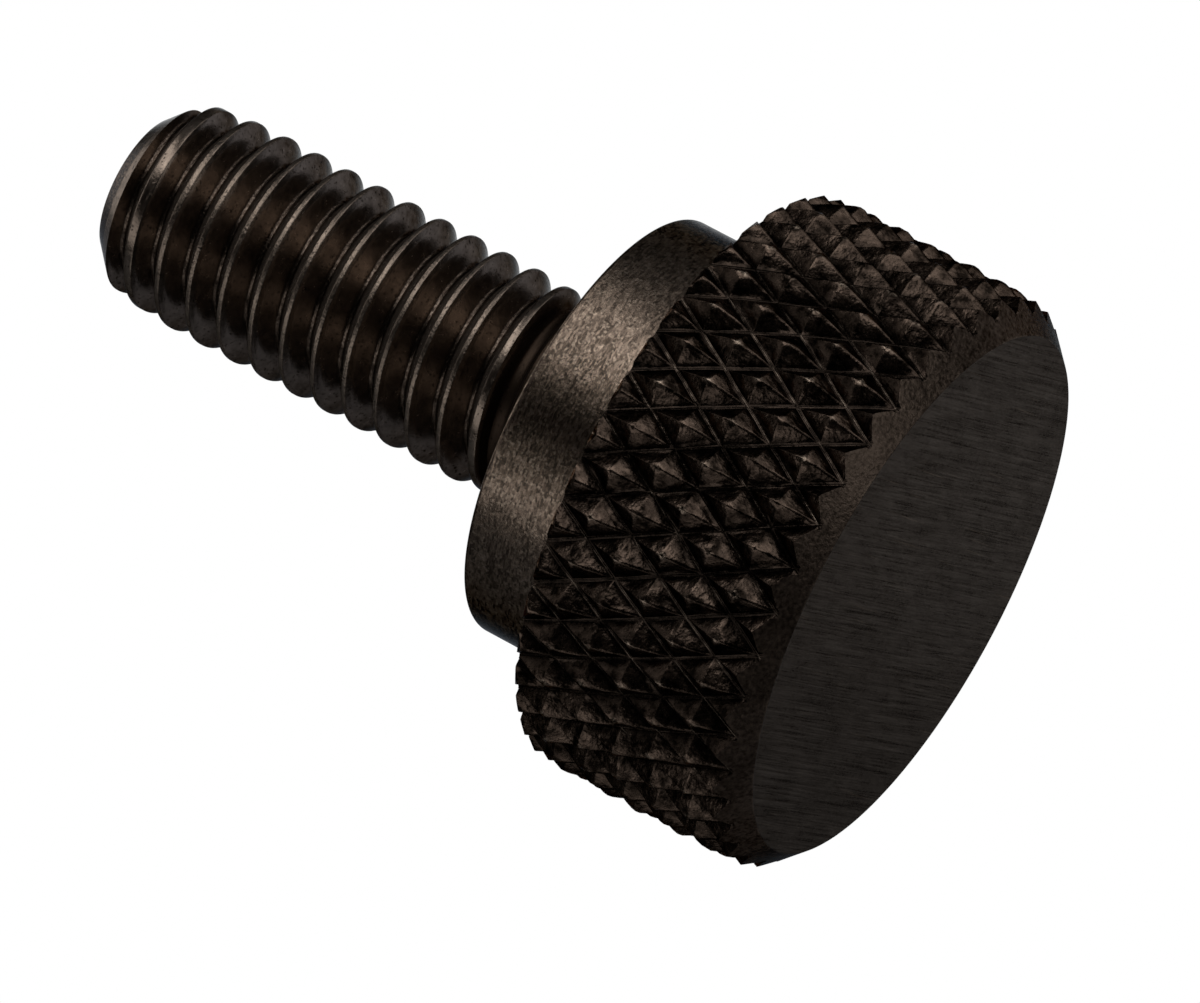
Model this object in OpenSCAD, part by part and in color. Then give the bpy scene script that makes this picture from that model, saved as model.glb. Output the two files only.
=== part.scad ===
// Thumb screw, turned from one bar: a diamond-knurled head, a plain collar, a short neck
// and a rolled metric thread. It stands on the head's end face, with the thread up +Z.

/* [Head] */
// Diameter over the points of the knurl, in mm
head_d = 16.7; // [12:0.1:30]
// Height of the knurled head, in mm
head_h = 7; // [4:0.1:14]
// Size of the 45 degree chamfer round the end face, in mm
face_chamfer = 0.85; // [0.6:0.05:1.5]
// Size of the 45 degree chamfer round the head's other edge, in mm
rim_chamfer = 0.3; // [0.1:0.05:1]

/* [Knurl] */
// Number of grooves each way round the head
knurl_count = 40; // [24:1:60]
// Angle between a groove and the screw's axis, in degrees
knurl_angle = 30; // [20:1:45]
// Depth of the grooves, in mm
knurl_depth = 0.45; // [0.2:0.05:0.6]
// Height of the first ring of groove crossings above the end face, in mm
knurl_start = 0.5; // [0:0.05:2]
// Turn of the knurl round the axis, in degrees
knurl_turn = 3.3; // [0:0.1:15]

/* [Collar] */
// Diameter of the plain collar, in mm
collar_d = 12.1; // [8:0.1:16]
// Height of the collar, from the head to the seat, in mm
collar_h = 3; // [1:0.1:8]
// Rounding of the collar's seat edge, in mm
collar_edge = 0.12; // [0.05:0.01:0.5]

/* [Thread] */
// Diameter over the crests at full height, in mm
thread_d = 5.95; // [4:0.05:8]
// Distance from one crest to the next, in mm
thread_pitch = 1; // [0.7:0.05:1.25]
// Length of the screw from the seat to the tip, in mm
shank_l = 14.4; // [8:0.1:25]
// Length over which the crests rise from the neck to full height, in mm
neck_lead = 2.4; // [0.5:0.1:5]
// Length over which the grooves run out towards the neck, in mm
groove_lead = 1; // [0.5:0.1:3]
// Length over which the crests fall towards the tip, in mm
tip_lead = 3.1; // [0.5:0.1:5]
// How far the crests would have fallen at the tip itself, in mm
tip_fall = 0.35; // [0:0.01:0.5]
// Angle round the axis at which a crest crosses the plane of the tip, in degrees
thread_start = 36; // [0:1:359]

/* [Neck and tip] */
// Length of the plain neck between the seat and the thread, in mm
neck_l = 0.9; // [0.6:0.1:4]
// Radius of the fillet between the neck and the seat, in mm
neck_fillet = 0.4; // [0.1:0.05:0.6]
// Size of the 45 degree chamfer at the tip, in mm
tip_chamfer = 0.95; // [0.3:0.05:1.5]

/* [Hidden] */
$fn = 96;

head_r = head_d / 2;
collar_r = collar_d / 2;
thread_r = thread_d / 2;
seat_z = head_h + collar_h;
thread_z = seat_z + neck_l;
tip_z = seat_z + shank_l;

// The metric thread's form. A thread is rolled on a blank of its pitch diameter, which the neck keeps.
crest_w = thread_pitch / 8;
thread_depth = 0.6134 * thread_pitch;
neck_r = thread_r - 0.3248 * thread_pitch;
flank_slope = tan(30);

// The helix has this many corners in a turn.
thread_steps = 36;
// Its crests' corners stand this proud of the thread's diameter before they are trimmed to it.
crest_trim = 0.003;
// Its run-out ends this far above the neck's surface, in a small bevel.
neck_step = 0.06;

// ---- Knurled head ----

// The knurl is a net of points in rings: groove crossings and pyramid points take turns round a
// ring and from ring to ring. Its grooves have the stated angle halfway down their depth.
knurl_cols = 2 * knurl_count;
ring_h = PI * (head_r - knurl_depth / 2) / (knurl_count * tan(knurl_angle));
rings_below = ceil(knurl_start / ring_h) + 1;
ring_total = rings_below + ceil((head_h - knurl_start) / ring_h) + 2;

function is_crossing(ring, col) = (ring + rings_below + col) % 2 == 0;

function ring_z(ring) = knurl_start + (ring - rings_below) * ring_h;

function knurl_point(ring, col) =
    let (
        r = is_crossing(ring, col) ? head_r - knurl_depth : head_r,
        angle = knurl_turn + 180 * col / knurl_count
    )
    [r * cos(angle), r * sin(angle), ring_z(ring)];

function knurl_id(ring, col) = ring * knurl_cols + col % knurl_cols;

// A cell between four neighbouring points folds along the groove that joins its two crossings.
function knurl_cell(ring, col) =
    let (
        a = knurl_id(ring, col),
        b = knurl_id(ring, col + 1),
        c = knurl_id(ring + 1, col + 1),
        d = knurl_id(ring + 1, col)
    )
    is_crossing(ring, col) ? [[a, c, b], [a, d, c]] : [[a, d, b], [b, d, c]];

module knurled_bar() {
    top = ring_total - 1;
    low_id = ring_total * knurl_cols;
    high_id = low_id + 1;
    points = [
        for (ring = [0:top], col = [0:knurl_cols - 1]) knurl_point(ring, col),
        [0, 0, ring_z(0)],
        [0, 0, ring_z(top)]
    ];
    side = [
        for (ring = [0:top - 1], col = [0:knurl_cols - 1]) each knurl_cell(ring, col)
    ];
    low_end = [
        for (col = [0:knurl_cols - 1]) [low_id, knurl_id(0, col), knurl_id(0, col + 1)]
    ];
    high_end = [
        for (col = [0:knurl_cols - 1]) [high_id, knurl_id(top, col + 1), knurl_id(top, col)]
    ];
    polyhedron(points, concat(side, low_end, high_end), convexity = 6);
}

// The head before knurling, with both chamfers carried on past the knurl's points
module head_blank() {
    past = knurl_depth;
    rotate_extrude()
        polygon([
            [0, 0],
            [head_r - face_chamfer, 0],
            [head_r + past, face_chamfer + past],
            [head_r + past, head_h - rim_chamfer - past],
            [head_r - rim_chamfer, head_h],
            [0, head_h]
        ]);
}

module knurled_head() {
    intersection() {
        head_blank();
        knurled_bar();
    }
}

// ---- Collar and neck ----

module collar() {
    buried = head_h / 2;
    rotate_extrude()
        difference() {
            translate([0, head_h - buried])
                square([collar_r, collar_h + buried]);
            translate([collar_r - collar_edge, seat_z - collar_edge])
                difference() {
                    square(2 * collar_edge);
                    circle(collar_edge);
                }
        }
}

module neck() {
    buried = collar_h / 2;
    rotate_extrude()
        difference() {
            translate([0, seat_z - buried])
                square([neck_r + neck_fillet, neck_l + buried]);
            translate([neck_r + neck_fillet, seat_z + neck_fillet])
                circle(neck_fillet);
            translate([neck_r, seat_z + neck_fillet])
                square([2 * neck_fillet, neck_l]);
        }
}

// ---- Thread ----

// How much of its form the thread has lost at a distance in from its end: 1 at the end, 0 past the lead
function loss(distance, lead) = pow(1 - min(max(distance / lead, 0), 1), 2);

function crest_r(z) =
    thread_r + crest_trim
    - loss(z - thread_z, neck_lead) * (thread_r + crest_trim - neck_r - neck_step)
    - loss(tip_z - z, tip_lead) * tip_fall;

function groove_r(z) =
    thread_r - thread_depth
    + loss(z - thread_z - thread_pitch / 4, groove_lead)
    * (neck_r + neck_step / 2 - thread_r + thread_depth);

// Half the width of a crest, or of a groove's bottom, where the straight flanks reach radius r
function crest_half(r) = crest_w / 2 + (thread_r - r) * flank_slope;
function groove_half(r) = thread_pitch / 2 - crest_half(r);

// The helix is a net of points in columns round the axis. A column has four levels to a pitch:
// the crest's two edges and the groove's two edges. Each turn's last column meets its first one
// four levels up.
turn_total = ceil((tip_z - thread_z) / thread_pitch) + 3;
top_level = 4 * turn_total;
first_crest_z = tip_z - (turn_total - 2 + thread_start / 360) * thread_pitch;

function thread_point(col, level) =
    let (
        turns = floor(level / 4) + col / thread_steps,
        on_crest = level % 4 < 2,
        side = level % 2 == 0 ? -1 : 1,
        z = first_crest_z + (turns + (on_crest ? 0 : 0.5)) * thread_pitch,
        r = on_crest ? crest_r(z) : groove_r(z),
        half = on_crest ? crest_half(r) : groove_half(r),
        angle = 360 * col / thread_steps
    )
    [r * cos(angle), r * sin(angle), z + side * half];

function thread_id(col, level) =
    col < thread_steps ? col * (top_level + 1) + level : thread_id(col - thread_steps, level + 4);

module threaded_bar() {
    last_col = thread_steps - 1;
    low_id = thread_steps * (top_level + 1);
    high_id = low_id + 1;
    points = [
        for (col = [0:last_col], level = [0:top_level]) thread_point(col, level),
        [0, 0, first_crest_z - thread_pitch],
        [0, 0, first_crest_z + (turn_total + 2) * thread_pitch]
    ];
    side = [
        for (col = [0:last_col], level = [0:top_level - (col == last_col ? 5 : 1)])
            let (
                a = thread_id(col, level),
                b = thread_id(col + 1, level),
                c = thread_id(col + 1, level + 1),
                d = thread_id(col, level + 1)
            )
            each [[a, c, b], [a, d, c]]
    ];
    low_rim = [
        for (col = [0:last_col]) thread_id(col, 0),
        for (level = [4:-1:1]) thread_id(0, level)
    ];
    high_rim = [
        for (col = [0:last_col]) thread_id(col, top_level),
        for (level = [top_level - 1:-1:top_level - 4]) thread_id(last_col, level)
    ];
    rim = len(low_rim);
    low_end = [for (i = [0:rim - 1]) [low_id, low_rim[i], low_rim[(i + 1) % rim]]];
    high_end = [for (i = [0:rim - 1]) [high_id, high_rim[(i + 1) % rim], high_rim[i]]];
    polyhedron(points, concat(side, low_end, high_end), convexity = 10);
}

// The bevel, the cylinder and the tip's chamfer that trim the thread, from inside the neck to the tip
module thread_blank() {
    buried = neck_l / 2;
    rotate_extrude()
        polygon([
            [0, thread_z - buried],
            [neck_r - buried, thread_z - buried],
            [thread_r, thread_z + thread_r - neck_r],
            [thread_r, tip_z - tip_chamfer],
            [thread_r - tip_chamfer, tip_z],
            [0, tip_z]
        ]);
}

module thread() {
    intersection() {
        thread_blank();
        threaded_bar();
    }
}

// ---- The screw ----

module thumb_screw() {
    color([0.2, 0.19, 0.18])
        union() {
            knurled_head();
            collar();
            neck();
            thread();
        }
}

thumb_screw();
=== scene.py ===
from math import atan2, ceil, cos, degrees, pi, radians, sin, tan

import bmesh
import bpy
import numpy as np
from mathutils import Matrix, Vector, noise


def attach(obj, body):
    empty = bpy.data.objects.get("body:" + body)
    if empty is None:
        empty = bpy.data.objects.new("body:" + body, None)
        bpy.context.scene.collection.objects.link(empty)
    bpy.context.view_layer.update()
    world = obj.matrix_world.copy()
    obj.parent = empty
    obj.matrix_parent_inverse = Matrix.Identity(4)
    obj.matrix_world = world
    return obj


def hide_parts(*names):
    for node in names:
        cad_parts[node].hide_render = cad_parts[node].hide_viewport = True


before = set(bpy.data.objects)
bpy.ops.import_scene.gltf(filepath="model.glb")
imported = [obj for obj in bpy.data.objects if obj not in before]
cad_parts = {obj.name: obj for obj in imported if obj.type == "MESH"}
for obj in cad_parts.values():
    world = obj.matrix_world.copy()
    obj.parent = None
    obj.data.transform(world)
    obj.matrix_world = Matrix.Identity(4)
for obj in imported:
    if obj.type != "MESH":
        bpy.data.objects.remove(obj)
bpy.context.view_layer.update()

MM = 0.001

# ---- The screw's sizes, in mm and degrees, as in the CAD ----
HEAD_R = 8.35
HEAD_H = 7.0
FACE_CHAMFER = 0.85
RIM_CHAMFER = 0.3
COLLAR_R = 6.05
COLLAR_EDGE = 0.12
SEAT_Z = 10.0
NECK_FILLET = 0.4
THREAD_Z = 10.9
TIP_Z = 24.4
TIP_CHAMFER = 0.95

KNURL_COUNT = 40
# Half the height of a diamond. The CAD rounds the knurl's angle to 30 degrees, which makes it 1.105.
KNURL_ROW = 1.099
KNURL_START = 0.5
KNURL_TURN = 3.3
KNURL_DEPTH = 0.45

PITCH = 1.0
THREAD_R = 2.975
NECK_R = THREAD_R - 0.3248 * PITCH
ROOT_R = THREAD_R - 0.6134 * PITCH
CREST_HALF = PITCH / 16
FLANK_SLOPE = tan(radians(30))
NECK_LEAD = 2.4
GROOVE_LEAD = 1.0
TIP_LEAD = 3.1
TIP_FALL = 0.35
NECK_STEP = 0.06
THREAD_START = 36

# ---- Detail that only the visual mesh has, in mm ----
# Rounding of the edge between the end face and its chamfer
FACE_EDGE = 0.05
# Half the width of a groove's flat floor, and of the raised line, or bead, along its middle
GROOVE_FLOOR = 0.045
BEAD_HALF = 0.024
# Half the width over which a ridge between facets is rounded: sharp ones and worn ones
RIDGE_HALF = 0.03
SOFT_RIDGE_HALF = 0.1
# How far a facet bulges: 1 is flat
FACET_BULGE = 1.25
# Depth of the small dents in the facets, and how far the knurl's lines stray
DENT_DEPTH = 0.028
WANDER = 0.03
# Depth over which a diamond's point is smooth, without dents
POINT_DEPTH = 0.03
# The two families of grooves, one row each: the share of the depth by which grooves differ, the
# lowest bead and how much higher the highest one is
DEPTH_SPREAD = np.array([[0.06], [0.03]])
BEAD_LEAST = np.array([[0.003], [0.012]])
BEAD_SPREAD = np.array([[0.009], [0.008]])
# How much is worn off a diamond's point, at least, and how much more at most
WORN_LEAST = 0.012
WORN_SPREAD = 0.05
# Rounding of the thread's crests, the rise of its rounded roots, and how much deeper they are
CREST_EDGE = 0.025
ROOT_RISE = 0.0722
ROOT_DROP = 0.02

# Corners in a turned surface's circle, corners in a turn of the thread, and rows of worn points
SEGMENTS = 256
THREAD_COLS = 120
WORN_ROWS = 64
# How far a bar that is to be trimmed reaches past the head, and past its own end on the axis
KNURL_PAST = 1.6
CAP_PAST = 1

# One seed for numpy's numbers and for Blender's noise vectors, which would start from the clock
SEED = 7
rng = np.random.default_rng(SEED)
noise.seed_set(SEED)


# ---- Meshes ----

def mesh_object(name, points, faces):
    """A mesh object from points in mm."""
    mesh = bpy.data.meshes.new(name)
    corners = [tuple(point) for point in np.asarray(points) * MM]
    mesh.from_pydata(corners, [], [tuple(map(int, face)) for face in faces])
    mesh.validate()
    obj = bpy.data.objects.new(name, mesh)
    bpy.context.scene.collection.objects.link(obj)
    return obj


def arc(centre, radius, start, end, steps):
    """Points on an arc in the (radius, height) plane, from one angle to another in degrees."""
    angles = np.radians(np.linspace(start, end, steps + 1))
    return [(centre[0] + radius * cos(a), centre[1] + radius * sin(a)) for a in angles]


def revolved(name, profile):
    """A closed solid turned from a profile that starts and ends on the axis."""
    ring = profile[1:-1]
    angles = 2 * pi * np.arange(SEGMENTS) / SEGMENTS
    points = [(r * cos(a), r * sin(a), z) for r, z in ring for a in angles]
    low, high = len(points), len(points) + 1
    points += [(0, 0, profile[0][1]), (0, 0, profile[-1][1])]
    faces = []
    for row in range(len(ring) - 1):
        for k in range(SEGMENTS):
            n = (k + 1) % SEGMENTS
            a, b = row * SEGMENTS + k, row * SEGMENTS + n
            faces.append((a, b, b + SEGMENTS, a + SEGMENTS))
    last = (len(ring) - 1) * SEGMENTS
    for k in range(SEGMENTS):
        n = (k + 1) % SEGMENTS
        faces.append((low, n, k))
        faces.append((high, last + k, last + n))
    return mesh_object(name, points, faces)


def combined(target, other, operation):
    """Joins or cuts the target with another closed mesh, which is used up."""
    step = target.modifiers.new("combine", "BOOLEAN")
    step.operation = operation
    step.solver = "MANIFOLD"
    step.object = other
    bpy.context.view_layer.update()
    cut = bpy.data.meshes.new_from_object(target.evaluated_get(bpy.context.evaluated_depsgraph_get()))
    target.modifiers.clear()
    target.data = cut
    bpy.data.objects.remove(other)
    return target


# ---- The knurled head ----

# Two families of grooves run round the head, one each way. GROOVE_ARC is the distance round the
# head between two grooves of a family, and GROOVE_GAP is the distance straight across them.
GROOVE_ARC = 2 * pi * (HEAD_R - KNURL_DEPTH / 2) / KNURL_COUNT
GROOVE_GAP = GROOVE_ARC * 2 * KNURL_ROW / np.hypot(GROOVE_ARC, 2 * KNURL_ROW)

# Distances from a groove's middle line at which a facet has points, from the bead to the ridge
BEAD_ROWS = [0, 0.5 * BEAD_HALF, BEAD_HALF]
FACET_ROWS = BEAD_ROWS + [GROOVE_FLOOR, 0.15, 0.26, 0.38, 0.48, GROOVE_GAP / 2]


def groove_height(distance, depth, bead):
    """Height above a groove's floor at a distance from its middle line: a bead and a bulging flank."""
    share = np.clip((distance - GROOVE_FLOOR) / (GROOVE_GAP / 2 - GROOVE_FLOOR), 0, 1)
    rise = bead * np.sqrt(np.maximum(1 - (distance / BEAD_HALF) ** 2, 0))
    return depth * (1 - (1 - share) ** FACET_BULGE) + rise


def dents(points):
    """Small dents in the knurl's flanks, as heights from -1 to 1."""
    return np.array([noise.noise(Vector(p) * 3.5) + 0.8 * noise.noise(Vector(p) * 8.0) for p in points])


def wander(points):
    """How far the knurl's lines stray from straight ones, as vectors up to about 1 long."""
    apart_from_dents = Vector((7, 0, 0))
    return np.array([noise.noise_vector(Vector(p) * 1.3 + apart_from_dents) for p in points])


def facet_net(first_ridge, last_ridge):
    """One facet's points, as shares of a gap from its groove and along it, and its triangles.

    The ridges at its two ends are rounded over the widths given, except in the groove, where
    facets meet.
    """
    net = []
    for out in FACET_ROWS:
        length = GROOVE_GAP - 2 * out
        widths = (first_ridge, last_ridge) if out > 0 else (RIDGE_HALF, RIDGE_HALF)
        first, last = (min(width, 0.25 * length) for width in widths)
        stops = (0, first, 0.35 * length, 0.65 * length, length - last, length)
        net += [(out, out + along) for along in stops]
    columns = len(stops)
    triangles = []
    for i in range(len(FACET_ROWS) - 1):
        for j in range(columns - 1):
            a, b = i * columns + j, (i + 1) * columns + j
            triangles += [(a, a + 1, b + 1), (a, b + 1, b)]
    return np.array(net) / GROOVE_GAP, np.array(triangles)


def knurled_bar():
    """A bar with every diamond of the knurl, longer than the head at both ends."""
    # a facet's groove family and side, and the widths of its first and last ridge
    facets = [
        (0, 0, RIDGE_HALF, SOFT_RIDGE_HALF),
        (1, 0, RIDGE_HALF, RIDGE_HALF),
        (0, 1, RIDGE_HALF, RIDGE_HALF),
        (1, 1, SOFT_RIDGE_HALF, RIDGE_HALF),
    ]
    depth = KNURL_DEPTH * (1 - DEPTH_SPREAD * rng.random((2, KNURL_COUNT)))
    bead = BEAD_LEAST + BEAD_SPREAD * rng.random((2, KNURL_COUNT))
    worn = WORN_LEAST + WORN_SPREAD * rng.random((KNURL_COUNT, WORN_ROWS)) ** 3

    first = -ceil((KNURL_START + KNURL_PAST) / KNURL_ROW)
    last = ceil((HEAD_H - KNURL_START + KNURL_PAST) / KNURL_ROW)
    points, faces = [], []
    for row in range(first, last + 1):
        for k in range(KNURL_COUNT):
            # the cell between grooves k + row and k of the two families
            for family, side, first_ridge, last_ridge in facets:
                net, triangles = facet_net(first_ridge, last_ridge)
                across, along = net[:, 0], net[:, 1]
                distance = across * GROOVE_GAP
                if side:
                    across = 1 - across
                # p and q are counted in grooves across the two families
                p, q = (along, across) if family else (across, along)
                if family != side:
                    triangles = triangles[:, ::-1]
                groove = ((k + row, k)[family] + side) % KNURL_COUNT
                turn = (2 * k + row + p + q) / 2
                z = KNURL_START + KNURL_ROW * (row + p - q)
                deep = depth[family, groove]
                height = KNURL_DEPTH - deep
                height = height + groove_height(distance, deep, bead[family, groove])
                height = np.minimum(height, KNURL_DEPTH - worn[k, row % WORN_ROWS])
                angle = np.radians(KNURL_TURN - 90 + 360 * turn / KNURL_COUNT)
                faces.append(triangles + len(points) * len(net))
                points.append(np.stack([angle, z, HEAD_R - KNURL_DEPTH + height], -1))
    points, faces = np.concatenate(points), np.concatenate(faces)
    points[:, 0] %= 2 * pi

    # points that facets share, the same to a millionth, lie at the mean of their heights
    million = 1e6
    keys = np.rint(points[:, :2] * million).astype(np.int64)
    keys[:, 0] %= round(2 * pi * million)
    keys, inverse, count = np.unique(keys, axis=0, return_inverse=True, return_counts=True)
    inverse = inverse.reshape(-1)
    angle, z = keys.T / million
    r = np.bincount(inverse, points[:, 2]) / count

    # dents are deeper higher up a flank, and the lines stray
    around = np.stack([r * np.cos(angle), r * np.sin(angle), z], -1)
    depth_share = np.clip((r - HEAD_R + KNURL_DEPTH) / KNURL_DEPTH, 0, 0.8)
    r = r + DENT_DEPTH * depth_share * dents(around) * (r < HEAD_R - POINT_DEPTH)
    stray = WANDER * wander(around)
    angle = angle + stray[:, 0] / HEAD_R
    z = z + stray[:, 2]
    points = np.stack([r * np.cos(angle), r * np.sin(angle), z], -1)

    # a facet's last row of points is its tip, and triangles that shrink to a line there are left out
    faces = inverse[faces]
    a, b, c = faces.T
    whole = (a != b) & (b != c) & (c != a)
    return capped_bar("knurled_bar", points, faces[whole])


def capped_bar(name, points, faces):
    """A mesh object from a bar's sides, with its two open rims closed by fans to points on the axis."""
    edges = np.concatenate([faces[:, [0, 1]], faces[:, [1, 2]], faces[:, [2, 0]]])
    ordered = np.sort(edges, axis=1)
    code = ordered[:, 0] * len(points) + ordered[:, 1]
    _, first, count = np.unique(code, return_index=True, return_counts=True)
    rim = edges[first[count == 1]]
    middle = points[:, 2].mean()
    ends = np.where(points[rim].mean(1)[:, 2] < middle, len(points), len(points) + 1)
    faces = np.concatenate([faces, np.stack([rim[:, 1], rim[:, 0], ends], -1)])
    z_low, z_high = points[:, 2].min() - CAP_PAST, points[:, 2].max() + CAP_PAST
    points = np.concatenate([points, [(0, 0, z_low), (0, 0, z_high)]])
    return mesh_object(name, points, faces)


# ---- The thread ----

def loss(distance, lead):
    """How much of its form the thread has lost at a distance in from its end."""
    return (1 - np.clip(distance / lead, 0, 1)) ** 2


def crest_r(z):
    """The crests' radius at a height."""
    neck = loss(z - THREAD_Z, NECK_LEAD) * (THREAD_R - NECK_R - NECK_STEP)
    return THREAD_R - neck - loss(TIP_Z - z, TIP_LEAD) * TIP_FALL


def groove_r(z):
    """The grooves' radius at a height."""
    return ROOT_R + loss(z - THREAD_Z - PITCH / 4, GROOVE_LEAD) * (NECK_R + NECK_STEP / 2 - ROOT_R)


def crest_half(r):
    """Half the width of a crest whose flanks reach a radius."""
    return CREST_HALF + (THREAD_R - r) * FLANK_SLOPE


def half_thread(z_crest, side):
    """One side of the thread's form, as (distance along z from the crest's middle, radius)."""
    top = crest_r(z_crest)
    low = groove_r(z_crest + side * PITCH / 2) - ROOT_DROP
    # the flank's foot is under the crest even where the thread runs out
    foot = np.minimum(low + ROOT_RISE - ROOT_DROP, top - 0.01)
    corner, foot_at = crest_half(top), crest_half(foot)
    # the crest's rounded edge
    form = [(corner - CREST_EDGE, top), (corner - 0.25 * CREST_EDGE, top - 0.2 * CREST_EDGE)]
    form.append((corner + 0.35 * CREST_EDGE, top - 0.35 * CREST_EDGE / FLANK_SLOPE))
    # the flank
    start_at, start_r = form[-1]
    for share in (0.35, 0.7):
        form.append((start_at + share * (foot_at - start_at), start_r + share * (foot - start_r)))
    # the rounded root, an arc that meets the flank
    sweep = radians(60)
    width, rise = PITCH / 2 - foot_at, foot - low
    for share in (1, 0.67, 0.33, 0):
        a = sweep * share
        out = width * sin(a) / sin(sweep)
        up = rise * (1 - cos(a)) / (1 - cos(sweep))
        form.append((PITCH / 2 - out, low + up))
    return form


def threaded_bar():
    """A helical bar with the thread's full form, longer than the thread at both ends."""
    turns = ceil((TIP_Z - THREAD_Z) / PITCH) + 3
    first_crest = TIP_Z - (turns - 2 + THREAD_START / 360) * PITCH
    columns = []
    for col in range(THREAD_COLS):
        angle = 2 * pi * col / THREAD_COLS
        column = []
        for turn in range(turns + 1):
            z = first_crest + (turn + col / THREAD_COLS) * PITCH
            below = [(z - d, r) for d, r in half_thread(z, -1)]
            above = [(z + d, r) for d, r in half_thread(z, 1)]
            column += below[::-1] + above[:-1]
        columns.append([(r * cos(angle), r * sin(angle), height) for height, r in column])
    # a turn's levels, and the levels of a whole column less its last turn
    levels = len(columns[0]) // (turns + 1)
    count = len(columns[0]) - levels
    points = np.array(columns)[:, : count + 1].reshape(-1, 3)

    def point_id(col, level):
        """A point's number. Past a turn's last column comes the first one, a turn higher."""
        if col == THREAD_COLS:
            col, level = 0, level + levels
        return col * (count + 1) + level

    faces = []
    for col in range(THREAD_COLS):
        top = count - levels if col == THREAD_COLS - 1 else count
        for level in range(top):
            a, b = point_id(col, level), point_id(col + 1, level)
            c, d = point_id(col + 1, level + 1), point_id(col, level + 1)
            faces += [(a, b, c), (a, c, d)]
    return capped_bar("threaded_bar", points, np.array(faces))


def head():
    """The knurled bar trimmed to the head's blank."""
    past = KNURL_DEPTH
    # the edge is a 45 degree turn, so its rounding starts this far inside it
    inset = FACE_EDGE * tan(radians(45 / 2))
    profile = [(0, 0)]
    profile += arc((HEAD_R - FACE_CHAMFER - inset, FACE_EDGE), FACE_EDGE, -90, -45, 3)
    profile += [
        (HEAD_R + past, FACE_CHAMFER + past),
        (HEAD_R + past, HEAD_H - RIM_CHAMFER - past),
        (HEAD_R - RIM_CHAMFER, HEAD_H),
        (0, HEAD_H),
    ]
    return combined(knurled_bar(), revolved("head_blank", profile), "INTERSECT")


def collar_and_neck():
    """The collar, with a rounded seat edge, and the neck, with a fillet where it meets the seat."""
    profile = [(0, HEAD_H / 2), (COLLAR_R, HEAD_H / 2)]
    profile += arc((COLLAR_R - COLLAR_EDGE, SEAT_Z - COLLAR_EDGE), COLLAR_EDGE, 0, 90, 5)
    profile += arc((NECK_R + NECK_FILLET, SEAT_Z + NECK_FILLET), NECK_FILLET, -90, -180, 8)
    profile += [(NECK_R, THREAD_Z), (0, THREAD_Z)]
    return revolved("collar_and_neck", profile)


def thread():
    """The threaded bar trimmed to the thread's blank, which starts inside the neck."""
    inside = 0.45
    profile = [
        (0, THREAD_Z - inside),
        (NECK_R - inside, THREAD_Z - inside),
        (THREAD_R, THREAD_Z + THREAD_R - NECK_R),
        (THREAD_R, TIP_Z - TIP_CHAMFER),
        (THREAD_R - TIP_CHAMFER, TIP_Z),
        (0, TIP_Z),
    ]
    return combined(threaded_bar(), revolved("thread_blank", profile), "INTERSECT")


# ---- Surfaces ----

SURFACES = ["face", "chamfer", "knurl", "collar", "thread"]

# A face this level is one of the flats. Edges that bend further than the angle stay sharp.
LEVEL = 0.9999
SHARP_ANGLE = 28


def surface_of(centre, normal):
    """Which finish a face of the screw has, from where it is and how it faces."""
    r, z = np.hypot(centre.x, centre.y) / MM, centre.z / MM
    tiny = 0.001
    if z < 0.2 * FACE_EDGE:
        return "face"
    if z > SEAT_Z + tiny and r < NECK_R + NECK_FILLET:
        return "thread"
    if z > HEAD_H - tiny:
        return "collar"
    cone_r = HEAD_R - FACE_CHAMFER + z
    faces_down = normal.z < -0.5
    if r > cone_r - 0.06 and faces_down:
        return "chamfer"
    return "knurl"


def groove_distance(point):
    """Distance in mm from a point on the knurl to the middle line of its nearest groove."""
    turn = (degrees(atan2(point.y, point.x)) - KNURL_TURN + 90) * KNURL_COUNT / 360
    rows = (point.z / MM - KNURL_START) / (2 * KNURL_ROW)
    return GROOVE_GAP * min(abs(place - round(place)) for place in (turn + rows, turn - rows))


def give_finishes(obj, materials):
    """Gives each face its finish, and marks the edges that stay sharp in shading."""
    obj.data.materials.clear()
    for name in SURFACES:
        obj.data.materials.append(materials[name])
    bm = bmesh.new()
    bm.from_mesh(obj.data)
    bm.normal_update()
    close = 0.0001 * MM
    for end_z in (0, TIP_Z * MM):
        # an end's flat becomes one even fan
        flats = [f for f in bm.faces if all(abs(v.co.z - end_z) < close for v in f.verts)]
        joined = bmesh.ops.dissolve_faces(bm, faces=flats)["region"]
        bmesh.ops.poke(bm, faces=joined)
    for face in bm.faces:
        face.smooth = True
        finish = surface_of(face.calc_center_median(), face.normal)
        face.material_index = SURFACES.index(finish)
    knurl = SURFACES.index("knurl")
    for edge in bm.edges:
        if len(edge.link_faces) == 2:
            a, b = (f.normal for f in edge.link_faces)
            rim_of_flat = (abs(a.z) > LEVEL) != (abs(b.z) > LEVEL)
            gentle = a.dot(b) > cos(radians(SHARP_ANGLE)) and not rim_of_flat
            on_knurl = all(f.material_index == knurl for f in edge.link_faces)
            middle = (edge.verts[0].co + edge.verts[1].co) / 2
            # a ridge between facets is worn round, so only lines in a groove stay sharp
            worn_round = on_knurl and groove_distance(middle) > 1.2 * GROOVE_FLOOR
            edge.smooth = bool(gentle or worn_round)
    bm.to_mesh(obj.data)
    bm.free()


# ---- Materials ----

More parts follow.
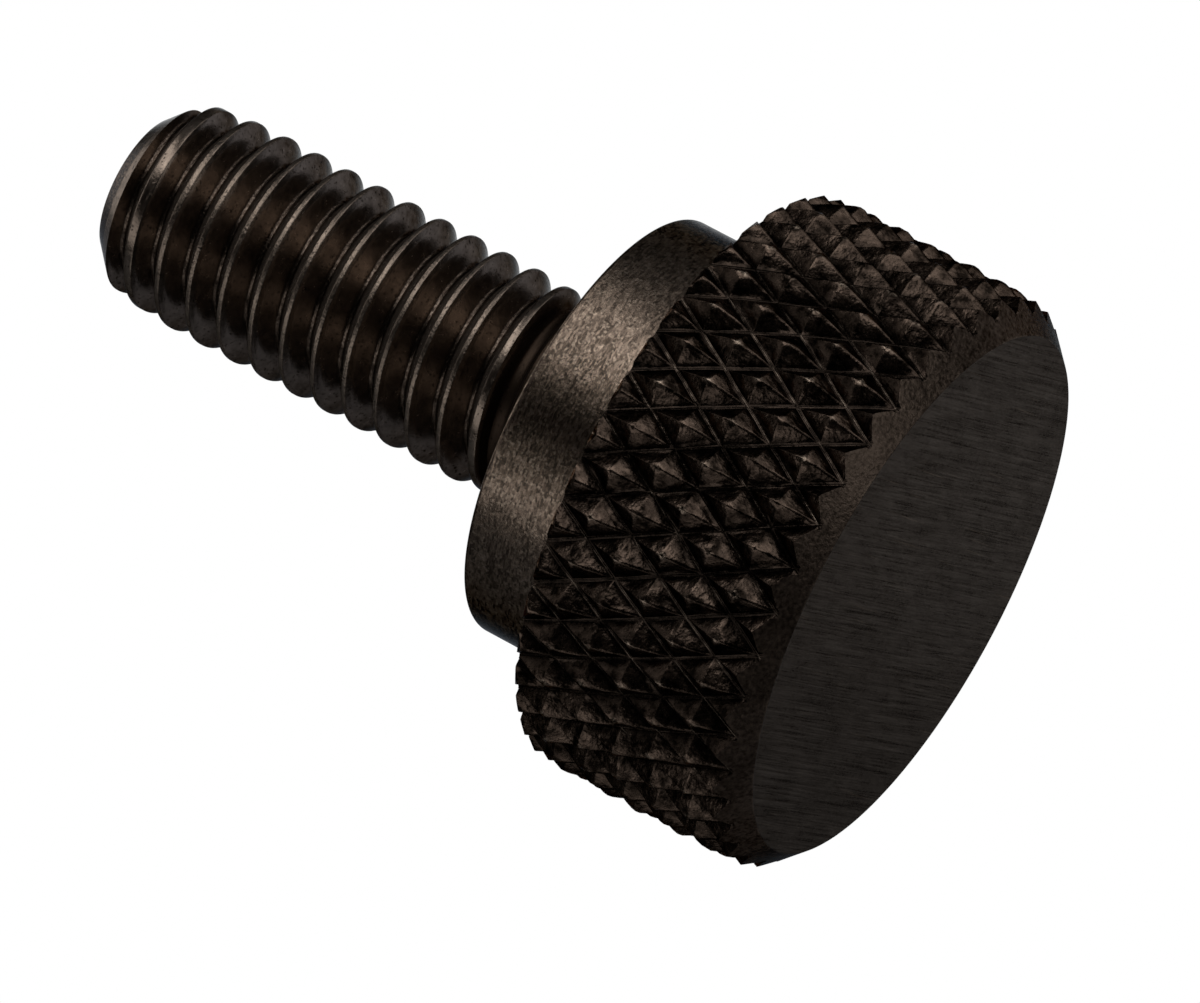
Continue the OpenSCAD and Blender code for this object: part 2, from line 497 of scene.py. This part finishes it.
class Nodes:
    """A material's node tree, built by short calls."""

    def __init__(self, name):
        self.material = bpy.data.materials.new(name)
        self.material.use_nodes = True
        self.tree = self.material.node_tree
        self.shader = self.tree.nodes["Principled BSDF"]

    def put(self, kind, settings=(), **inputs):
        """A new node with some settings and inputs. An input has its name, or its number as i0, i1."""
        node = self.tree.nodes.new(kind)
        for key, value in dict(settings).items():
            setattr(node, key, value)
        for key, value in inputs.items():
            self.set(node, key, value)
        return node

    def set(self, node, key, value):
        """Gives a node's input a value, or links it to another node's output."""
        numbered = key[0] == "i" and key[1:].isdigit()
        socket = node.inputs[int(key[1:]) if numbered else key]
        if isinstance(value, bpy.types.NodeSocket):
            self.tree.links.new(value, socket)
        else:
            socket.default_value = value

    def places(self, scale, turn=0.0):
        """Object coordinates in mm, turned round Z by degrees and then scaled along each axis."""
        where = self.put("ShaderNodeTexCoord").outputs["Object"]
        turned = self.put("ShaderNodeMapping", Rotation=(0, 0, radians(turn)), Vector=where)
        scaled = self.put("ShaderNodeMapping", Scale=[s / MM for s in scale], Vector=turned.outputs[0])
        return scaled.outputs[0]

    def noise(self, where, size, detail=3.0, rough=0.6):
        """Noise whose blobs are about a size in mm."""
        numbers = {"Scale": 1 / size, "Detail": detail, "Roughness": rough}
        return self.put("ShaderNodeTexNoise", Vector=where, **numbers).outputs["Fac"]

    def cells(self, where, size):
        """Grains about a size in mm, each with a random tone."""
        return self.put("ShaderNodeTexVoronoi", Vector=where, Scale=1 / size).outputs["Color"]

    def blend(self, *shares):
        """The sum of some values, each times its share, from (value, share) pairs."""
        parts = [self.times(value, share) for value, share in shares]
        total = parts[0]
        for part in parts[1:]:
            total = self.maths("ADD", total, part)
        return total

    def together(self, x, y, scale):
        """A vector from two values, each times its scale."""
        parts = {"X": self.times(x, scale[0]), "Y": self.times(y, scale[1])}
        return self.put("ShaderNodeCombineXYZ", **parts).outputs[0]

    def parts(self, coordinate):
        """The X, Y and Z of a texture coordinate, which is Object or Normal here."""
        whole = self.put("ShaderNodeTexCoord").outputs[coordinate]
        return self.put("ShaderNodeSeparateXYZ", Vector=whole).outputs

    def groove_places(self):
        """A point's place across the two families of the knurl's grooves, in grooves."""
        where = self.parts("Object")
        angle = self.maths("ARCTAN2", where["Y"], where["X"])
        grooves_round = self.times(angle, KNURL_COUNT / (2 * pi))
        turn = self.maths("SUBTRACT", grooves_round, (KNURL_TURN - 90) * KNURL_COUNT / 360)
        rows = self.times(where["Z"], 0.5 / (KNURL_ROW * MM))
        rows = self.maths("SUBTRACT", rows, 0.5 * KNURL_START / KNURL_ROW)
        return self.maths("ADD", turn, rows), self.maths("SUBTRACT", turn, rows)

    def radius(self):
        """Distance from the screw's axis, in mm."""
        where = self.put("ShaderNodeTexCoord").outputs["Object"]
        flattened = (1 / MM, 1 / MM, 0)
        across = self.put("ShaderNodeVectorMath", {"operation": "MULTIPLY"}, i0=where, i1=flattened)
        length = self.put("ShaderNodeVectorMath", {"operation": "LENGTH"}, i0=across.outputs[0])
        return length.outputs["Value"]

    def height(self):
        """Height above the end face, in mm."""
        return self.times(self.parts("Object")["Z"], 1 / MM)

    def facing_up(self):
        """How far the surface faces the screw's tip, from -1 to 1."""
        return self.parts("Normal")["Z"]

    def ramp(self, value, low, high, to_low=0.0, to_high=1.0):
        """Goes from to_low to to_high as a value goes from low to high, and stays level past them."""
        ends = {"From Min": low, "From Max": high, "To Min": to_low, "To Max": to_high}
        return self.put("ShaderNodeMapRange", Value=value, **ends).outputs[0]

    def mix(self, share, a, b):
        """Colour a with a share of colour b laid over it."""
        return self.put("ShaderNodeMix", {"data_type": "RGBA"}, i0=share, i6=a, i7=b).outputs[2]

    def maths(self, operation, a, b):
        """What a Math node makes of two values."""
        return self.put("ShaderNodeMath", {"operation": operation}, i0=a, i1=b).outputs[0]

    def times(self, a, b):
        """Two values multiplied."""
        return self.maths("MULTIPLY", a, b)

    def bump(self, height, depth, onto=None):
        """Bump of a depth in mm where height goes from 0 to 1, on top of another bump if given."""
        node = self.put("ShaderNodeBump", Height=height, Distance=depth * MM)
        if onto is not None:
            self.set(node, "Normal", onto)
        return node.outputs[0]

    def finish(self, colour, roughness, bump):
        """Gives the shader its colour, roughness and bump, and returns the material."""
        self.set(self.shader, "Base Color", colour)
        self.set(self.shader, "Roughness", roughness)
        self.set(self.shader, "Normal", bump)
        return self.material


# Colours are in linear light.
# Worn bare steel, which also paints the highlight on the knurl's beads and the glints on the collar
WORN_STEEL_AND_HIGHLIGHT = (0.34, 0.27, 0.21, 1)
# A dark dirt, which also paints shade into the knurl's grooves
DIRT_AND_SHADE = (0.010, 0.0075, 0.006, 1)
# A brown dirt, which also paints shade on the thread's run-out beside the seat
BROWN_DIRT_AND_SHADE = (0.027, 0.0185, 0.0135, 1)


def steel(name, tint):
    """A blackened steel. At grazing angles its reflection turns to a tint, which keeps it low there."""
    n = Nodes(name)
    n.set(n.shader, "Metallic", 1.0)
    n.set(n.shader, "Specular Tint", (*tint, 1))
    return n


def face_steel():
    """The ground end face: fine straight streaks, a few longer scratches and faint stains."""
    n = steel("face_steel", tint=(0.25, 0.268, 0.28))
    dark, light = (0.071, 0.061, 0.0546, 1), (0.125, 0.1085, 0.0967, 1)
    streaks = n.noise(n.places((1, 0.008, 1), 5), 0.046, 3.0, 0.7)
    bands = n.noise(n.places((1, 0.02, 1), 7), 0.13, 4.0, 0.7)
    stains = n.noise(n.places((1, 0.33, 1)), 0.5, 5.0, 0.75)
    grit = n.noise(n.places((1, 0.33, 1)), 0.06, 2.0, 0.6)
    tone = n.blend((streaks, 0.36), (bands, 0.20), (stains, 0.26), (grit, 0.18))
    colour = n.mix(n.ramp(tone, 0.40, 0.60), dark, light)
    lines = n.ramp(n.noise(n.places((1, 0.009, 1), 7), 0.055, 3.0, 0.7), 0.60, 0.69)
    colour = n.mix(n.times(lines, 0.34), colour, DIRT_AND_SHADE)
    scratches = n.ramp(n.noise(n.places((1, 0.012, 1), 3), 0.06, 2.0, 0.5), 0.66, 0.74)
    colour = n.mix(n.times(scratches, 0.13), colour, WORN_STEEL_AND_HIGHLIGHT)
    roughness = n.ramp(streaks, 0.3, 0.7, 0.28, 0.44)
    return n.finish(colour, roughness, n.bump(bands, 0.005, n.bump(streaks, 0.003)))


def chamfer_steel():
    """The turned chamfer: brown and granular, and rubbed in places beside the end face."""
    n = steel("chamfer_steel", tint=(0.075, 0.12, 0.15))
    dark, light = (0.070, 0.052, 0.040, 1), (0.195, 0.147, 0.114, 1)
    even = n.places((1, 1, 1))
    grain = n.noise(even, 0.11, 3.0, 0.65)
    mottle = n.noise(even, 0.9, 3.0, 0.6)
    tone = n.blend((grain, 0.7), (mottle, 0.3))
    colour = n.mix(n.ramp(tone, 0.38, 0.62), dark, light)
    rubbed = n.times(n.ramp(n.height(), 0.04, 0.015), n.ramp(mottle, 0.45, 0.62, 0.0, 0.45))
    colour = n.mix(rubbed, colour, WORN_STEEL_AND_HIGHLIGHT)
    return n.finish(colour, n.ramp(grain, 0.3, 0.7, 0.3, 0.45), n.bump(grain, 0.02))


def knurl_steel():
    """The knurl: black-brown flanks with marks along the grooves, dirt and painted shade by the
    grooves, a painted highlight on one family's beads, and points worn to brighter steel.
    """
    n = steel("knurl_steel", tint=(0.30, 0.29, 0.285))
    dark, light = (0.008, 0.0058, 0.0044, 1), (0.084, 0.060, 0.046, 1)
    even = n.places((1, 1, 1))

    # distance from each family's nearest groove, from 0 in its middle to 0.5 on the ridge
    across_p, across_q = n.groove_places()
    near_p = n.maths("PINGPONG", across_p, 0.5)
    near_q = n.maths("PINGPONG", across_q, 0.5)
    nearest = n.maths("MINIMUM", near_p, near_q)

    # tool marks run along whichever groove is nearer
    drawn_out = (22.0, 1.6)
    marks_p = n.noise(n.together(across_p, across_q, drawn_out), 1.0, 2.0, 0.6)
    marks_q = n.noise(n.together(across_q, across_p, drawn_out), 1.0, 2.0, 0.6)
    by_p = n.maths("LESS_THAN", near_p, near_q)
    by_q = n.maths("SUBTRACT", 1.0, by_p)
    marks = n.maths("ADD", n.times(marks_p, by_p), n.times(marks_q, by_q))

    grain = n.noise(even, 0.10, 3.0, 0.7)
    mottle = n.noise(even, 0.45, 3.0, 0.6)
    tone = n.ramp(n.blend((grain, 0.14), (mottle, 0.79), (marks, 0.07)), 0.39, 0.60)
    colour = n.mix(tone, dark, light)
    # darker towards the grooves: dirt and painted shade in the recesses
    colour = n.mix(n.ramp(nearest, 0.02, 0.18, 0.85, 0.0), colour, DIRT_AND_SHADE)
    # points are worn in patches; the lines along one family's grooves are a painted highlight on their
    # beads, also in patches
    patches = n.ramp(n.noise(even, 0.8, 2.0, 0.5), 0.42, 0.6)
    point = n.times(n.ramp(nearest, 0.39, 0.47), n.ramp(grain, 0.42, 0.58))
    line = n.times(n.ramp(near_q, 0.026, 0.010), n.ramp(mottle, 0.46, 0.66, 0.0, 0.28))
    worn = n.times(n.times(point, patches), 0.65)
    colour = n.mix(n.maths("MAXIMUM", worn, line), colour, WORN_STEEL_AND_HIGHLIGHT)
    bump = n.bump(marks, 0.0025, n.bump(mottle, 0.050, n.bump(grain, 0.004)))
    return n.finish(colour, n.ramp(grain, 0.3, 0.7, 0.20, 0.34), bump)


def collar_steel():
    """The turned collar, seat and shoulder: granular, with dark specks, fewer painted glints, and
    painted light on the seat and shoulder.
    """
    n = steel("collar_steel", tint=(0.22, 0.24, 0.25))
    dark, light = (0.047, 0.0355, 0.0275, 1), (0.176, 0.1325, 0.1015, 1)
    dull = (0.098, 0.074, 0.057, 1)
    even = n.places((1, 1, 1))
    turned = n.places((0.5, 0.5, 1.5))
    grain = n.noise(turned, 0.09, 4.0, 0.8)
    grit = n.cells(turned, 0.08)
    fine = n.noise(even, 0.06, 2.0, 0.6)
    mottle = n.noise(even, 0.9, 3.0, 0.6)
    tone = n.blend((grain, 0.45), (grit, 0.33), (mottle, 0.22))
    colour = n.mix(n.ramp(tone, 0.38, 0.62), dark, light)
    # the seat and the shoulder, which face the tip, get an even middle colour and part diffuse shading:
    # painted light, which keeps them from going black where they mirror the dark room
    flats = n.ramp(n.facing_up(), 0.5, 0.9)
    colour = n.mix(n.times(flats, 0.6), colour, dull)
    n.set(n.shader, "Metallic", n.ramp(flats, 0.0, 1.0, 1.0, 0.6))
    specks = n.times(n.ramp(fine, 0.60, 0.67), n.ramp(flats, 0.0, 1.0, 0.6, 0.25))
    colour = n.mix(specks, colour, DIRT_AND_SHADE)
    # painted glints: sparse bright grains stand in for glints of light
    glints = n.ramp(n.cells(even, 0.07), 0.68, 0.80, 0.0, 0.35)
    colour = n.mix(glints, colour, WORN_STEEL_AND_HIGHLIGHT)
    roughness = n.ramp(grain, 0.3, 0.7, 0.27, 0.17)
    return n.finish(colour, roughness, n.bump(fine, 0.005, n.bump(grain, 0.010)))


def thread_steel():
    """The rolled thread: smooth brown flanks with small pits, dull roots and rubbed crests, with
    painted shade on the run-out beside the seat and painted light on the flanks that face the tip.
    """
    n = steel("thread_steel", tint=(0.25, 0.27, 0.285))
    dark, light = (0.105, 0.083, 0.067, 1), (0.195, 0.154, 0.124, 1)
    even = n.places((1, 1, 1))
    grain = n.noise(n.places((0.5, 0.5, 1)), 0.12, 3.0, 0.6)
    fine = n.noise(even, 0.06, 2.0, 0.6)
    mottle = n.noise(even, 0.7, 3.0, 0.6)
    tone = n.blend((grain, 0.55), (mottle, 0.45))
    colour = n.mix(n.ramp(tone, 0.36, 0.64), dark, light)
    r = n.radius()
    rubbed = n.times(n.ramp(r, THREAD_R - 0.06, THREAD_R - 0.02), n.ramp(fine, 0.38, 0.6))
    colour = n.mix(n.times(rubbed, 0.06), colour, WORN_STEEL_AND_HIGHLIGHT)

    # dirt lies in the roots, and the run-out beside the seat gets the same brown as painted shade
    roots = n.ramp(r, ROOT_R, ROOT_R + 0.06, 1.0, 0.0)
    root_dirt = n.times(roots, n.ramp(fine, 0.36, 0.56, 0.35, 0.95))
    beside_seat = n.ramp(n.height(), THREAD_Z + 1.2, THREAD_Z + 0.9)
    run_out_shade = n.times(beside_seat, n.ramp(r, THREAD_R - 0.1, THREAD_R - 0.2))
    colour = n.mix(n.maths("MAXIMUM", root_dirt, run_out_shade), colour, BROWN_DIRT_AND_SHADE)
    pits = n.ramp(n.noise(even, 0.09, 2.0, 0.5), 0.62, 0.68)
    colour = n.mix(n.times(pits, 0.7), colour, DIRT_AND_SHADE)

    # the flanks that face the tip, but not the crests, are made up to a quarter diffuse: painted light,
    # which lightens them where their mirror goes dark between the crests
    crest = n.ramp(r, THREAD_R - 0.08, THREAD_R - 0.02)
    tip_flank_light = n.times(n.ramp(n.facing_up(), 0.3, 0.7), n.ramp(crest, 0.0, 1.0, 0.25, 0.0))
    n.set(n.shader, "Metallic", n.maths("SUBTRACT", 1.0, tip_flank_light))

    roughness = n.ramp(grain, 0.3, 0.7, 0.18, 0.28)
    roughness = n.maths("MAXIMUM", roughness, n.times(crest, 0.27))
    roughness = n.maths("MAXIMUM", roughness, n.times(run_out_shade, 0.42))
    pitted = n.bump(pits, -0.003, n.bump(fine, 0.004))
    return n.finish(colour, roughness, n.bump(n.times(crest, fine), 0.010, pitted))


def black_steels():
    """The material of each finish."""
    return {
        "face": face_steel(),
        "chamfer": chamfer_steel(),
        "knurl": knurl_steel(),
        "collar": collar_steel(),
        "thread": thread_steel(),
    }


# ---- Camera, light and floor ----

# The camera's distance and elevation count from a centre, and it aims at another point. All are in
# mm and degrees.
LENS = 361
CAMERA_CENTRE = (0, 0, 7.108)
CAMERA_DISTANCE = 314.33
CAMERA_ELEVATION = -19.46
CAMERA_AIM = (-1.655, -0.540, 8.637)
CAMERA_ROLL = 28

# Lamps: name, azimuth and elevation in degrees, width and height in m, radiance, and distance in m
# from a centre, which is in mm
LAMP_CENTRE = (0, 0, 12)
SOFTBOXES = [
    ("softbox_upper", 38.5, 13, 0.155, 0.39, 2.1, 0.30),
    ("softbox_high", 58, 34, 0.07, 0.09, 2.0, 0.30),
    ("softbox_hot", 31, 16, 0.035, 0.06, 2.5, 0.29),
    ("softbox_edge", 70, -15, 0.12, 0.30, 1.5, 0.30),
    ("softbox_lower", -48, 13, 0.133, 0.39, 1.12, 0.30),
    ("softbox_edge_low", -80, -15, 0.08, 0.25, 0.65, 0.30),
    ("softbox_side", 100, -8, 0.10, 0.12, 1.1, 0.30),
    ("softbox_under", 58, -63, 0.14, 0.08, 0.95, 0.30),
    ("softbox_sky", 0, 60, 0.18, 0.12, 0.32, 0.30),
    ("softbox_top", 180, 80, 0.18, 0.18, 2.4, 0.30),
]

# Flags: name, colour, and where they are in mm: x of the near and the far side, y beyond the
# screw, and z of the low and the high edge
FLAGS = [
    ("flag_above", (0.50, 0.55, 0.65), 18, 70, 45, -36, 30),
    ("flag_below", (0.27, 0.29, 0.33), -8, -60, 60, -120, 120),
    ("flag_below_far", (0.19, 0.208, 0.245), -19, -60, 45, -80, 10),
    ("flag_below_near", (0.44, 0.44, 0.44), -1, -19, 45, -80, 2),
]

# The two colours of the room's wall
ROOM_BLACK = (0.083, 0.08, 0.078)
ROOM_GREY = (0.78, 0.83, 0.88)


def direction(azimuth, elevation):
    """The unit vector from the screw towards an azimuth and elevation. Azimuth 0 is -Y and 90 is +X."""
    a, e = radians(azimuth), radians(elevation)
    return Vector((sin(a) * cos(e), -cos(a) * cos(e), sin(e)))


def make_camera():
    """A long lens that looks up at the end face, with the screw's tip up and to the left."""
    data = bpy.data.cameras.new("camera")
    data.sensor_width = 36
    data.lens = LENS
    data.clip_start, data.clip_end = 0.01, 10
    camera = bpy.data.objects.new("camera", data)
    place = Vector(CAMERA_CENTRE) * MM + CAMERA_DISTANCE * MM * direction(0, CAMERA_ELEVATION)
    back = (place - Vector(CAMERA_AIM) * MM).normalized()
    up = (Vector((1, 0, 0)) - back * back.x).normalized()
    level = Matrix((up.cross(back), up, back)).transposed().to_4x4()
    roll = Matrix.Rotation(radians(CAMERA_ROLL), 4, "Z")
    camera.matrix_world = Matrix.Translation(place) @ level @ roll
    bpy.context.scene.collection.objects.link(camera)
    bpy.context.scene.camera = camera


def make_softbox(name, azimuth, elevation, width, height, radiance, distance):
    """A rectangular lamp that faces the screw and looks evenly bright."""
    data = bpy.data.lights.new(name, "AREA")
    data.shape = "RECTANGLE"
    data.size, data.size_y = width, height
    data.energy = radiance * pi * width * height
    lamp = bpy.data.objects.new(name, data)
    towards = direction(azimuth, elevation)
    lamp.location = Vector(LAMP_CENTRE) * MM + towards * distance
    lamp.rotation_mode = "QUATERNION"
    lamp.rotation_quaternion = towards.to_track_quat("Z", "Y")
    bpy.context.scene.collection.objects.link(lamp)


def seen_directly(tree):
    """1 for rays from the camera and for mirrored and transmitted rays, and 0 for the others."""
    path = tree.nodes.new("ShaderNodeLightPath")
    total = path.outputs["Is Camera Ray"]
    for name in ("Is Glossy Ray", "Is Transmission Ray"):
        most = tree.nodes.new("ShaderNodeMath")
        most.operation = "MAXIMUM"
        tree.links.new(total, most.inputs[0])
        tree.links.new(path.outputs[name], most.inputs[1])
        total = most.outputs[0]
    return total


def make_world():
    """White where the camera or the metal sees it, and a soft fill for everything else."""
    world = bpy.data.worlds.new("studio")
    bpy.context.scene.world = world
    world.use_nodes = True
    tree = world.node_tree
    background = tree.nodes["Background"]
    background.inputs["Color"].default_value = (1, 1, 1, 1)
    fill = 0.3
    strength = tree.nodes.new("ShaderNodeMapRange")
    strength.inputs["To Min"].default_value = fill
    tree.links.new(seen_directly(tree), strength.inputs["Value"])
    tree.links.new(strength.outputs[0], background.inputs["Strength"])


def make_room():
    """The dark side of the studio: a dome round the camera, open to the white backdrop opposite."""
    walls = []
    for name, colour in (("room_black", ROOM_BLACK), ("room_grey", ROOM_GREY)):
        n = Nodes(name)
        n.set(n.shader, "Base Color", (*colour, 1))
        n.set(n.shader, "Roughness", 1.0)
        walls.append(n.material)
    # radius in m, and the angle in degrees between the opening's middle and its edge
    radius, opening = 0.6, 45
    rings, around = 24, 48
    points, faces = [], []
    for i in range(rings + 1):
        a = radians(180 - (180 - opening) * i / rings)
        for k in range(around):
            b = 2 * pi * k / around
            points.append((radius * sin(a) * cos(b), radius * cos(a), radius * sin(a) * sin(b)))
    for i in range(rings):
        for k in range(around):
            a, b = i * around + k, i * around + (k + 1) % around
            faces.append((a, b, b + around, a + around))
    room = mesh_object("room", np.array(points) / MM, faces)
    for wall in walls:
        room.data.materials.append(wall)
    for face in room.data.polygons:
        # the band beside the opening, above the screw's foot, is the lighter one
        beside = face.center.y > -0.25 * radius
        in_band = 0 < face.center.z < 0.6 * radius
        face.material_index = int(beside and in_band)
    room.visible_camera = False


def make_flag(name, colour, near, far, beyond, low, high):
    """A grey flag beyond the screw. Only the metal sees it, and it dims the backdrop there."""
    n = Nodes(name)
    n.set(n.shader, "Base Color", (0, 0, 0, 1))
    n.set(n.shader, "Specular IOR Level", 0.0)
    n.set(n.shader, "Emission Color", (*colour, 1))
    n.set(n.shader, "Emission Strength", 1.0)
    corners = [(near, beyond, low), (far, beyond, low), (far, beyond, high), (near, beyond, high)]
    flag = mesh_object(name, corners, [(0, 1, 2, 3)])
    flag.data.materials.append(n.material)
    flag.visible_camera = flag.visible_shadow = flag.visible_diffuse = False


def make_floor():
    """A pale floor that shows only from above, because the camera looks up from below it."""
    n = Nodes("floor_pale")
    n.set(n.shader, "Base Color", (0.82, 0.81, 0.8, 1))
    n.set(n.shader, "Roughness", 0.9)
    n.set(n.shader, "Specular IOR Level", 0.1)
    n.set(n.shader, "Emission Color", (1, 1, 1, 1))
    n.set(n.shader, "Emission Strength", 0.4)
    path = n.put("ShaderNodeLightPath")
    side = n.put("ShaderNodeNewGeometry")
    from_above = n.maths("SUBTRACT", path.outputs["Is Camera Ray"], side.outputs["Backfacing"])
    shown = n.maths("MAXIMUM", from_above, 0.0)
    clear = n.put("ShaderNodeBsdfTransparent").outputs[0]
    either = n.put("ShaderNodeMixShader", i0=shown, i1=clear, i2=n.shader.outputs[0])
    n.set(n.tree.nodes["Material Output"], "Surface", either.outputs[0])
    # half its width, and its height just under the screw, in mm
    half = 2000
    low = -0.01
    corners = [(-half, -half, low), (half, -half, low), (half, half, low), (-half, half, low)]
    floor = mesh_object("floor", corners, [(0, 1, 2, 3)])
    floor.data.materials.append(n.material)


def make_screw():
    """The whole screw as one piece, which stands for the CAD's one node."""
    screw = combined(head(), collar_and_neck(), "UNION")
    screw = combined(screw, thread(), "UNION")
    screw.name = screw.data.name = "black_thumb_screw"
    give_finishes(screw, black_steels())
    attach(screw, "root")
    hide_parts("thumb_screw")


def make_studio():
    """The camera, and all that the screw is seen in."""
    bpy.context.scene.view_settings.view_transform = "Standard"
    make_camera()
    make_world()
    make_room()
    for flag in FLAGS:
        make_flag(*flag)
    make_floor()
    for lamp in SOFTBOXES:
        make_softbox(*lamp)


make_screw()
make_studio()
